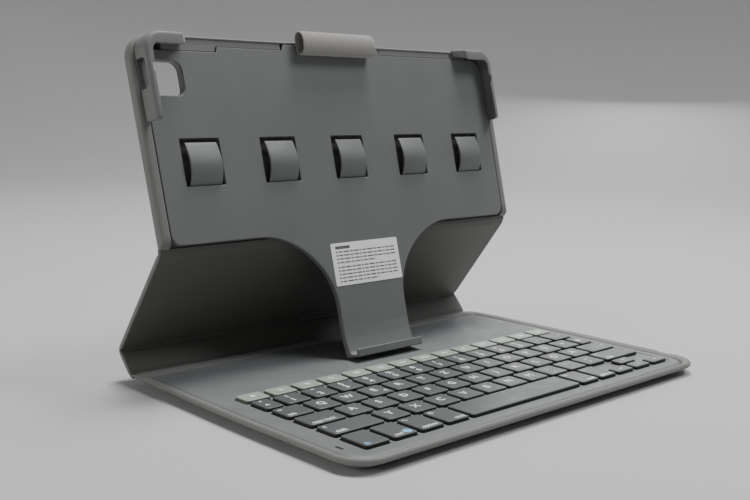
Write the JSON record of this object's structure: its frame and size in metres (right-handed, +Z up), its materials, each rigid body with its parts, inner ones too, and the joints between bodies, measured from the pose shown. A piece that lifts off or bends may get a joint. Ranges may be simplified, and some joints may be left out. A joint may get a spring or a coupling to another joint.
{
  "type": "tablet keyboard case",
  "caption": "Folio keyboard case for a tablet: a keyboard base, a folding two-panel stand and a tablet tray with corner bumpers, leaf springs and an elastic pencil loop.",
  "frame": {"origin": "middle of the underside of the keyboard base, halfway along its width, on the desk", "axes": "+X to the right along the keyboard, +Y to the back towards the tablet, +Z up"},
  "size_m": [0.27, 0.1966, 0.1842],
  "materials": {
    "skin_rubber": "matte, fine grained",
    "lining_rubber": "matte, fine grained",
    "stiffener_board": "matte",
    "deck_plastic": "fine grained",
    "shell_plastic": "matte",
    "tray_plastic": "fine grained",
    "key_plastic": "satin",
    "function_key_plastic": "satin",
    "steel_plate": "stamped",
    "screw_steel": "turned",
    "membrane_film": "film",
    "dome_silicone": "satin",
    "board_laminate": "solder mask",
    "battery_foil": "foil",
    "magnet_nickel": "nickel plated",
    "light_lens": "gloss",
    "loop_elastic": "ribbed elastic",
    "label_film": "satin film"
  },
  "bodies": {
    "keyboard_base": {"base_skin": "skin_rubber", "bottom_shell": "shell_plastic", "keyboard_deck": "deck_plastic", "key_support_plate": "steel_plate", "membrane_sheet": "membrane_film", "rubber_dome_sheet": "dome_silicone", "circuit_board": "board_laminate", "battery_pack": "battery_foil", "charging_port": "steel_plate", "status_light_lens": "light_lens", "left_catch_magnet": "magnet_nickel", "right_catch_magnet": "magnet_nickel", "front_left_screw": "screw_steel", "front_right_screw": "screw_steel", "rear_left_screw": "screw_steel", "rear_right_screw": "screw_steel"},
    "spine": {"spine_skin": "skin_rubber", "spine_board": "stiffener_board", "spine_lining": "lining_rubber", "base_fold_strip": "skin_rubber"},
    "stand_panel": {"stand_skin": "skin_rubber", "stand_board": "stiffener_board", "stand_lining": "lining_rubber", "spine_fold_strip": "skin_rubber"},
    "tablet_holder": {"cover_skin": "skin_rubber", "cover_board": "stiffener_board", "tablet_tray": "tray_plastic", "left_corner_bumper": "skin_rubber", "right_corner_bumper": "skin_rubber", "pencil_loop": "loop_elastic", "information_label": "label_film", "foot_magnet": "magnet_nickel", "holder_fold_strip": "skin_rubber"},
    "outer_left_leaf": {"outer_left_leaf_spring": "tray_plastic"},
    "inner_left_leaf": {"inner_left_leaf_spring": "tray_plastic"},
    "middle_leaf": {"middle_leaf_spring": "tray_plastic"},
    "inner_right_leaf": {"inner_right_leaf_spring": "tray_plastic"},
    "outer_right_leaf": {"outer_right_leaf_spring": "tray_plastic"},
    "backspace_key_body": {"backspace_key": "key_plastic"},
    "caps_lock_key_body": {"caps_lock_key": "key_plastic"},
    "control_key_body": {"control_key": "key_plastic"},
    "down_arrow_key_body": {"down_arrow_key": "key_plastic"},
    "enter_key_body": {"enter_key": "key_plastic"},
    "function_row_keys_body": {"function_row_keys": "function_key_plastic"},
    "function_shift_key_body": {"function_shift_key": "key_plastic"},
    "home_letter_keys_body": {"home_letter_keys": "key_plastic"},
    "left_arrow_key_body": {"left_arrow_key": "key_plastic"},
    "left_command_key_body": {"left_command_key": "key_plastic"},
    "left_option_key_body": {"left_option_key": "key_plastic"},
    "left_shift_key_body": {"left_shift_key": "key_plastic"},
    "lower_letter_keys_body": {"lower_letter_keys": "key_plastic"},
    "number_row_keys_body": {"number_row_keys": "key_plastic"},
    "right_arrow_key_body": {"right_arrow_key": "key_plastic"},
    "right_command_key_body": {"right_command_key": "key_plastic"},
    "right_option_key_body": {"right_option_key": "key_plastic"},
    "right_shift_key_body": {"right_shift_key": "key_plastic"},
    "space_bar_body": {"space_bar": "key_plastic"},
    "tab_key_body": {"tab_key": "key_plastic"},
    "up_arrow_key_body": {"up_arrow_key": "key_plastic"},
    "upper_letter_keys_body": {"upper_letter_keys": "key_plastic"}
  },
  "joints": [
    {"name": "stand_fold", "type": "hinge", "parent": "spine", "child": "stand_panel", "pos_m": [0, 0.1008, 0.0159], "axis": [1, 0, 0], "range_deg": [-78.4, 0]},
    {"name": "spine_fold", "type": "hinge", "parent": "keyboard_base", "child": "spine", "pos_m": [0, 0.09, 0.0038], "axis": [1, 0, 0], "range_deg": [-48.25, 0]},
    {"name": "holder_fold", "type": "hinge", "parent": "stand_panel", "child": "tablet_holder", "pos_m": [0, 0.0581, 0.0732], "axis": [1, 0, 0], "range_deg": [0, 51.9]},
    {"name": "outer_left_leaf_flex", "type": "hinge", "parent": "tablet_holder", "child": "outer_left_leaf", "pos_m": [-0.09926, 0.06288, 0.10507], "axis": [-1, 0, 0], "range_deg": [0, 7], "stiffness_Nm_per_rad": 0.03},
    {"name": "inner_left_leaf_flex", "type": "hinge", "parent": "tablet_holder", "child": "inner_left_leaf", "pos_m": [-0.04963, 0.06288, 0.10507], "axis": [-1, 0, 0], "range_deg": [0, 7], "stiffness_Nm_per_rad": 0.03},
    {"name": "middle_leaf_flex", "type": "hinge", "parent": "tablet_holder", "child": "middle_leaf", "pos_m": [0, 0.06288, 0.10507], "axis": [-1, 0, 0], "range_deg": [0, 7], "stiffness_Nm_per_rad": 0.03},
    {"name": "inner_right_leaf_flex", "type": "hinge", "parent": "tablet_holder", "child": "inner_right_leaf", "pos_m": [0.04963, 0.06288, 0.10507], "axis": [-1, 0, 0], "range_deg": [0, 7], "stiffness_Nm_per_rad": 0.03},
    {"name": "outer_right_leaf_flex", "type": "hinge", "parent": "tablet_holder", "child": "outer_right_leaf", "pos_m": [0.09926, 0.06288, 0.10507], "axis": [-1, 0, 0], "range_deg": [0, 7], "stiffness_Nm_per_rad": 0.03},
    {"name": "backspace_key_press", "type": "slide", "parent": "keyboard_base", "child": "backspace_key_body", "axis": [0, 0, -1], "range_m": [0, 0.0012], "stiffness_N_per_m": 120, "springref_m": -0.002},
    {"name": "caps_lock_key_press", "type": "slide", "parent": "keyboard_base", "child": "caps_lock_key_body", "axis": [0, 0, -1], "range_m": [0, 0.0012], "stiffness_N_per_m": 120, "springref_m": -0.002},
    {"name": "control_key_press", "type": "slide", "parent": "keyboard_base", "child": "control_key_body", "axis": [0, 0, -1], "range_m": [0, 0.0012], "stiffness_N_per_m": 120, "springref_m": -0.002},
    {"name": "down_arrow_key_press", "type": "slide", "parent": "keyboard_base", "child": "down_arrow_key_body", "axis": [0, 0, -1], "range_m": [0, 0.0012], "stiffness_N_per_m": 120, "springref_m": -0.002},
    {"name": "enter_key_press", "type": "slide", "parent": "keyboard_base", "child": "enter_key_body", "axis": [0, 0, -1], "range_m": [0, 0.0012], "stiffness_N_per_m": 120, "springref_m": -0.002},
    {"name": "function_row_keys_press", "type": "slide", "parent": "keyboard_base", "child": "function_row_keys_body", "axis": [0, 0, -1], "range_m": [0, 0.0012], "stiffness_N_per_m": 120, "springref_m": -0.002},
    {"name": "function_shift_key_press", "type": "slide", "parent": "keyboard_base", "child": "function_shift_key_body", "axis": [0, 0, -1], "range_m": [0, 0.0012], "stiffness_N_per_m": 120, "springref_m": -0.002},
    {"name": "home_letter_keys_press", "type": "slide", "parent": "keyboard_base", "child": "home_letter_keys_body", "axis": [0, 0, -1], "range_m": [0, 0.0012], "stiffness_N_per_m": 120, "springref_m": -0.002},
    {"name": "left_arrow_key_press", "type": "slide", "parent": "keyboard_base", "child": "left_arrow_key_body", "axis": [0, 0, -1], "range_m": [0, 0.0012], "stiffness_N_per_m": 120, "springref_m": -0.002},
    {"name": "left_command_key_press", "type": "slide", "parent": "keyboard_base", "child": "left_command_key_body", "axis": [0, 0, -1], "range_m": [0, 0.0012], "stiffness_N_per_m": 120, "springref_m": -0.002},
    {"name": "left_option_key_press", "type": "slide", "parent": "keyboard_base", "child": "left_option_key_body", "axis": [0, 0, -1], "range_m": [0, 0.0012], "stiffness_N_per_m": 120, "springref_m": -0.002},
    {"name": "left_shift_key_press", "type": "slide", "parent": "keyboard_base", "child": "left_shift_key_body", "axis": [0, 0, -1], "range_m": [0, 0.0012], "stiffness_N_per_m": 120, "springref_m": -0.002},
    {"name": "lower_letter_keys_press", "type": "slide", "parent": "keyboard_base", "child": "lower_letter_keys_body", "axis": [0, 0, -1], "range_m": [0, 0.0012], "stiffness_N_per_m": 120, "springref_m": -0.002},
    {"name": "number_row_keys_press", "type": "slide", "parent": "keyboard_base", "child": "number_row_keys_body", "axis": [0, 0, -1], "range_m": [0, 0.0012], "stiffness_N_per_m": 120, "springref_m": -0.002},
    {"name": "right_arrow_key_press", "type": "slide", "parent": "keyboard_base", "child": "right_arrow_key_body", "axis": [0, 0, -1], "range_m": [0, 0.0012], "stiffness_N_per_m": 120, "springref_m": -0.002},
    {"name": "right_command_key_press", "type": "slide", "parent": "keyboard_base", "child": "right_command_key_body", "axis": [0, 0, -1], "range_m": [0, 0.0012], "stiffness_N_per_m": 120, "springref_m": -0.002},
    {"name": "right_option_key_press", "type": "slide", "parent": "keyboard_base", "child": "right_option_key_body", "axis": [0, 0, -1], "range_m": [0, 0.0012], "stiffness_N_per_m": 120, "springref_m": -0.002},
    {"name": "right_shift_key_press", "type": "slide", "parent": "keyboard_base", "child": "right_shift_key_body", "axis": [0, 0, -1], "range_m": [0, 0.0012], "stiffness_N_per_m": 120, "springref_m": -0.002},
    {"name": "space_bar_press", "type": "slide", "parent": "keyboard_base", "child": "space_bar_body", "axis": [0, 0, -1], "range_m": [0, 0.0012], "stiffness_N_per_m": 120, "springref_m": -0.002},
    {"name": "tab_key_press", "type": "slide", "parent": "keyboard_base", "child": "tab_key_body", "axis": [0, 0, -1], "range_m": [0, 0.0012], "stiffness_N_per_m": 120, "springref_m": -0.002},
    {"name": "up_arrow_key_press", "type": "slide", "parent": "keyboard_base", "child": "up_arrow_key_body", "axis": [0, 0, -1], "range_m": [0, 0.0012], "stiffness_N_per_m": 120, "springref_m": -0.002},
    {"name": "upper_letter_keys_press", "type": "slide", "parent": "keyboard_base", "child": "upper_letter_keys_body", "axis": [0, 0, -1], "range_m": [0, 0.0012], "stiffness_N_per_m": 120, "springref_m": -0.002}
  ],
  "couplings": [
    {"joint": "spine_fold", "follows": "stand_fold", "ratio": 0.6151},
    {"joint": "holder_fold", "follows": "stand_fold", "ratio": -0.6615}
  ]
}
